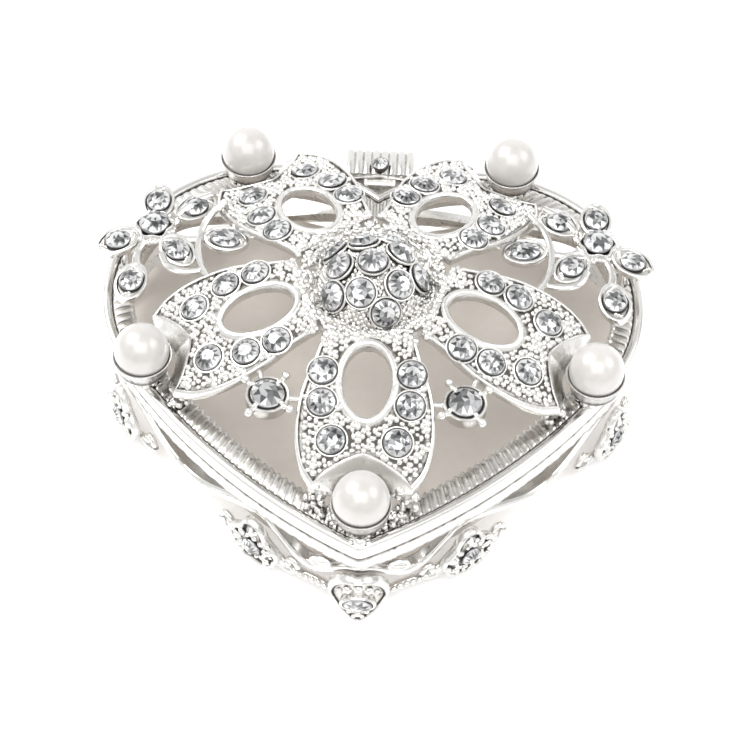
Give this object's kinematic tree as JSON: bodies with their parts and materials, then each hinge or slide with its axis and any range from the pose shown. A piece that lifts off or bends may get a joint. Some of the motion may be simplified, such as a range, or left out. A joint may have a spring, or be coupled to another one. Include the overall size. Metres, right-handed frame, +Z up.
{
  "type": "trinket box",
  "caption": "Heart-shaped openwork silver trinket box, with a domed flower of crystals and pearls on its hinged lid, and a scrollwork base on small fan-shaped feet",
  "frame": {"origin": "on the surface that the box stands on, under the centre of its bounding box", "axes": "+Z up, -Y towards the heart's tip, +Y towards the hinge, +X to the right seen from the tip"},
  "size_m": [0.072, 0.0658, 0.03],
  "materials": {
    "silver": "bright silver plate on a cast surface, with dark oxidised pits in the recesses",
    "satin_silver": "matt satin plate, slightly warm grey",
    "crystal": "clear faceted rhinestone on a foil back",
    "pearl": "imitation pearl, soft satin lustre"
  },
  "bodies": {
    "base": {"base_casting": "silver", "boss_front_left": "silver", "boss_front_right": "silver", "boss_rear_left": "silver", "boss_rear_right": "silver", "boss_side_left": "silver", "boss_side_right": "silver", "boss_stone_front_left": "crystal", "boss_stone_front_right": "crystal", "boss_stone_rear_left": "crystal", "boss_stone_rear_right": "crystal", "boss_stone_side_left": "crystal", "boss_stone_side_right": "crystal", "floor_plate": "satin_silver", "front_shield": "silver", "front_shield_stone": "crystal", "hinge_base_leaf": "silver", "hinge_pin": "silver"},
    "lid": {"claw_setting_left": "silver", "claw_setting_right": "silver", "claw_stone_left": "crystal", "claw_stone_right": "crystal", "cluster_dome": "silver", "cluster_stone_1": "crystal", "cluster_stone_10": "crystal", "cluster_stone_11": "crystal", "cluster_stone_2": "crystal", "cluster_stone_3": "crystal", "cluster_stone_4": "crystal", "cluster_stone_5": "crystal", "cluster_stone_6": "crystal", "cluster_stone_7": "crystal", "cluster_stone_8": "crystal", "cluster_stone_9": "crystal", "hinge_lid_leaf": "silver", "hinge_stone": "crystal", "lid_casting": "silver", "pearl_back_left": "pearl", "pearl_back_right": "pearl", "pearl_cup_back_left": "silver", "pearl_cup_back_right": "silver", "pearl_cup_front": "silver", "pearl_cup_left": "silver", "pearl_cup_right": "silver", "pearl_front": "pearl", "pearl_left": "pearl", "pearl_right": "pearl", "petal_back_left": "silver", "petal_back_right": "silver", "petal_front": "silver", "petal_left": "silver", "petal_right": "silver", "spray_left": "silver", "spray_right": "silver", "tip_bead": "silver"}
  },
  "joints": [
    {"name": "lid_hinge", "type": "hinge", "parent": "base", "child": "lid", "pos_m": [0, 0.03168, 0.01295], "axis": [-1, 0, 0], "range_deg": [0, 100]}
  ]
}
